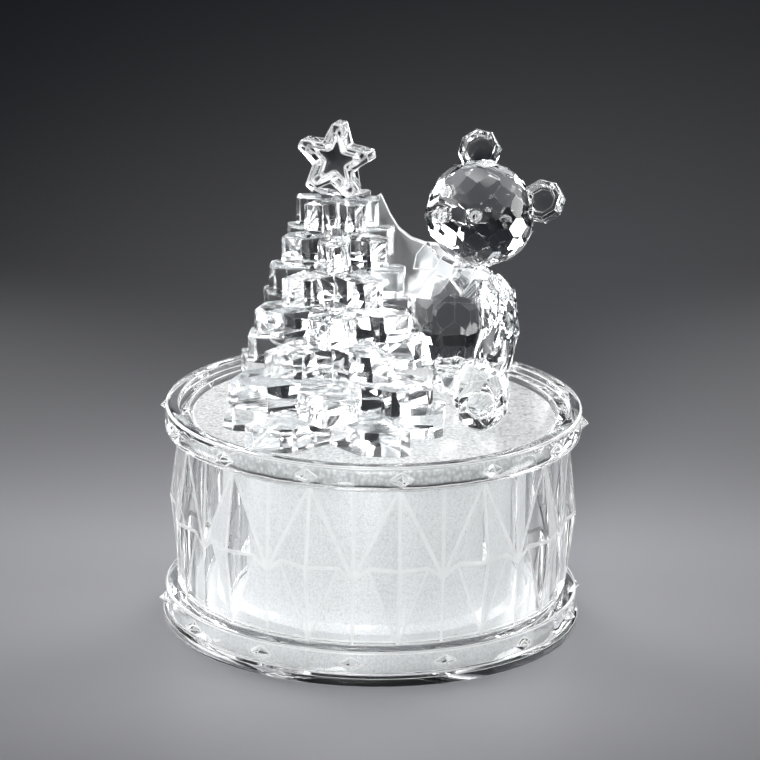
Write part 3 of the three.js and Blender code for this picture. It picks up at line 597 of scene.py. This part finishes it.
# ------------------------------------------------------------------ pieces
class MUSICBOX_OT_drum(bpy.types.Operator):
    """Build the faceted wall and the two rims"""

    bl_idname = "musicbox.drum"
    bl_label = "Drum wall and rims"

    def execute(self, context):
        drum = context.scene.musicbox_drum
        edge = context.scene.musicbox_crystal.edge
        diamond_band(
            "drum_wall", drum.wall_radius, 0.5 * MM, drum.wall_bulge, 8.7, 0.43, drum.turn,
            drum.wall_bore,
        )
        clear_piece("top_rim", edge, ROUND_TURN)
        clear_piece("bottom_rim", edge, ROUND_TURN)
        return {"FINISHED"}


class MUSICBOX_OT_base(bpy.types.Operator):
    """Build the clear base plate and the frosted housing inside the drum"""

    bl_idname = "musicbox.base"
    bl_label = "Base plate and housing"

    def execute(self, context):
        edge = context.scene.musicbox_crystal.edge
        clear_piece("base_plate", edge, LATHE_TURN)
        rounded_piece(
            "movement_cover", [finish("housing")], "frosted_plastic", edge, ROUND_TURN)
        return {"FINISHED"}


class MUSICBOX_OT_deck(bpy.types.Operator):
    """Build the frosted deck that turns, and the hub under it"""

    bl_idname = "musicbox.deck"
    bl_label = "Turning deck"

    def execute(self, context):
        edge = context.scene.musicbox_crystal.edge
        rounded_piece(
            "turntable_deck", [finish("deck")], "frosted_plastic", 2 * edge, LATHE_TURN)
        rounded_piece("drive_hub", [finish("plastic")], "white_plastic", edge, LATHE_TURN)
        return {"FINISHED"}


class MUSICBOX_OT_tree(bpy.types.Operator):
    """Build the tree's tiers, its middle rod and its star"""

    bl_idname = "musicbox.tree"
    bl_label = "Christmas tree"

    def execute(self, context):
        edge = context.scene.musicbox_crystal.edge
        for node in TREE_TIERS:
            clear_piece(node, edge, TIER_TURN, "tree")
        rounded_piece("tree_rod", [finish("tree")], "clear_crystal", ROD_EDGE, ROD_TURN)
        clear_piece("tree_star", 1.4 * edge, TIER_TURN)
        return {"FINISHED"}


class MUSICBOX_OT_bear(bpy.types.Operator):
    """Build the faceted bear"""

    bl_idname = "musicbox.bear"
    bl_label = "Bear"

    def execute(self, context):
        edge = context.scene.musicbox_crystal.fine_edge
        for node in BEAR_PIECES:
            clear_piece(node, edge, BEAR_TURN)
        clear_piece("bear_far_arm", 2 * edge, BEAR_TURN, "web")
        for node in FACE_DOMES:
            clear_piece(node, edge, ROUND_TURN, "eye", "eye_clear")
        return {"FINISHED"}


class MUSICBOX_OT_movement(bpy.types.Operator):
    """Give the movement and its winding key their metal finishes"""

    bl_idname = "musicbox.movement"
    bl_label = "Movement and key"

    def execute(self, context):
        for nodes, name in (
            (BRASS_PIECES, "brass"), (STEEL_PIECES, "steel"), (CAST_PIECES, "cast"),
        ):
            for node in nodes:
                repaint(node, finish(name))
        rounded_piece("winding_key", [finish("key")], "key_steel", KEY_EDGE, KEY_TURN)
        return {"FINISHED"}


# ------------------------------------------------------------------ stage
def camera_axes(stage):
    """The camera's place and its right, up and backward axes."""
    e = stage.elevation
    back = Vector((0, -math.cos(e), math.sin(e)))
    flat_up = Vector((0, math.sin(e), math.cos(e)))
    flat_right = Vector((1, 0, 0))
    c, s = math.cos(stage.roll), math.sin(stage.roll)
    right = c * flat_right + s * flat_up
    up = -s * flat_right + c * flat_up
    place = Vector((0, 0, stage.target)) + back * stage.distance
    return place, right, up, back


def add_camera(stage):
    data = bpy.data.cameras.new("Camera")
    data.sensor_width = 36
    data.lens = stage.lens
    data.shift_x = stage.side_shift
    data.clip_start = 0.05
    camera = link(bpy.data.objects.new("Camera", data))
    place, right, up, back = camera_axes(stage)
    turn = Matrix((right, up, back)).transposed()
    camera.matrix_world = Matrix.Translation(place) @ turn.to_4x4()
    bpy.context.scene.camera = camera


def add_softbox(name, place, aim, size, power, spread):
    """A rectangular soft lamp that faces a point and isn't itself in any view."""
    data = bpy.data.lights.new(name, "AREA")
    data.shape = "RECTANGLE"
    data.size, data.size_y = size
    data.energy = power * bpy.context.scene.musicbox_stage.power
    data.spread = math.radians(spread)
    lamp = link(bpy.data.objects.new(name, data))
    lamp.visible_camera = False
    direction = Vector(aim) - Vector(place)
    lamp.matrix_world = (
        Matrix.Translation(Vector(place)) @ direction.to_track_quat("-Z", "Y").to_matrix().to_4x4()
    )
    return lamp


def add_floor(stage):
    material, nodes, shader, place = new_material("Pale floor", tuple(stage.floor_tint))
    cloud = noise(nodes, place, 6, 2)
    tint = tuple(stage.floor_tint)
    nodes.join(tinted(nodes, cloud, shaded(tint, 0.96), tint), shader.inputs["Base Color"])
    shader.inputs["Roughness"].default_value = 0.5
    shader.inputs["Specular IOR Level"].default_value = 0.2
    mesh = bpy.data.meshes.new("floor")
    corners = ((-1, -1), (1, -1), (1, 1), (-1, 1))
    mesh.from_pydata(
        [(FLOOR_HALF * x, FLOOR_HALF * y, FLOOR_LEVEL) for x, y in corners], [], [(0, 1, 2, 3)],
    )
    mesh.materials.append(material)
    link(bpy.data.objects.new("floor", mesh))


def add_world():
    world = bpy.data.worlds.new("Dim studio")
    world.use_nodes = True
    surface = next(n for n in world.node_tree.nodes if n.type == "BACKGROUND")
    surface.inputs["Color"].default_value = (0.55, 0.6, 0.75, 1)
    surface.inputs["Strength"].default_value = 0.03
    bpy.context.scene.world = world


class MUSICBOX_OT_stage(bpy.types.Operator):
    """Set the floor, the soft lights and the camera"""

    bl_idname = "musicbox.stage"
    bl_label = "Stage"

    def execute(self, context):
        stage = context.scene.musicbox_stage
        add_floor(stage)
        add_world()
        for softbox in SOFTBOXES:
            add_softbox(*softbox)
        add_camera(stage)
        scene = context.scene
        scene.cycles.max_bounces = 32
        scene.cycles.transmission_bounces = 28
        scene.cycles.glossy_bounces = 12
        scene.cycles.transparent_max_bounces = 64
        scene.cycles.caustics_reflective = False
        scene.cycles.caustics_refractive = False
        scene.view_settings.view_transform = "Standard"
        return {"FINISHED"}


GROUPS = {
    "musicbox_crystal": MUSICBOX_PG_crystal,
    "musicbox_frost": MUSICBOX_PG_frost,
    "musicbox_drum": MUSICBOX_PG_drum,
    "musicbox_metal": MUSICBOX_PG_metal,
    "musicbox_stage": MUSICBOX_PG_stage,
}
OPERATORS = [
    MUSICBOX_OT_drum, MUSICBOX_OT_base, MUSICBOX_OT_deck, MUSICBOX_OT_tree, MUSICBOX_OT_bear,
    MUSICBOX_OT_movement, MUSICBOX_OT_stage,
]


class MUSICBOX_PT_panel(bpy.types.Panel):
    bl_idname = "MUSICBOX_PT_panel"
    bl_label = "Music Box"
    bl_space_type = "VIEW_3D"
    bl_region_type = "UI"
    bl_category = "Music Box"

    def draw(self, context):
        for attribute, group in GROUPS.items():
            box = self.layout.box()
            box.label(text=attribute.removeprefix("musicbox_").title())
            for name in group.__annotations__:
                box.prop(getattr(context.scene, attribute), name)
        for operator in OPERATORS:
            self.layout.operator(operator.bl_idname)


def register():
    for cls in (*GROUPS.values(), *OPERATORS, MUSICBOX_PT_panel):
        bpy.utils.register_class(cls)
    for attribute, group in GROUPS.items():
        setattr(bpy.types.Scene, attribute, PointerProperty(type=group))


def unregister():
    for attribute in GROUPS:
        delattr(bpy.types.Scene, attribute)
    for cls in reversed((*GROUPS.values(), *OPERATORS, MUSICBOX_PT_panel)):
        bpy.utils.unregister_class(cls)


def main():
    register()
    for operator in OPERATORS:
        name = operator.bl_idname.split(".")[1]
        getattr(bpy.ops.musicbox, name)()


if __name__ == "__main__":
    main()
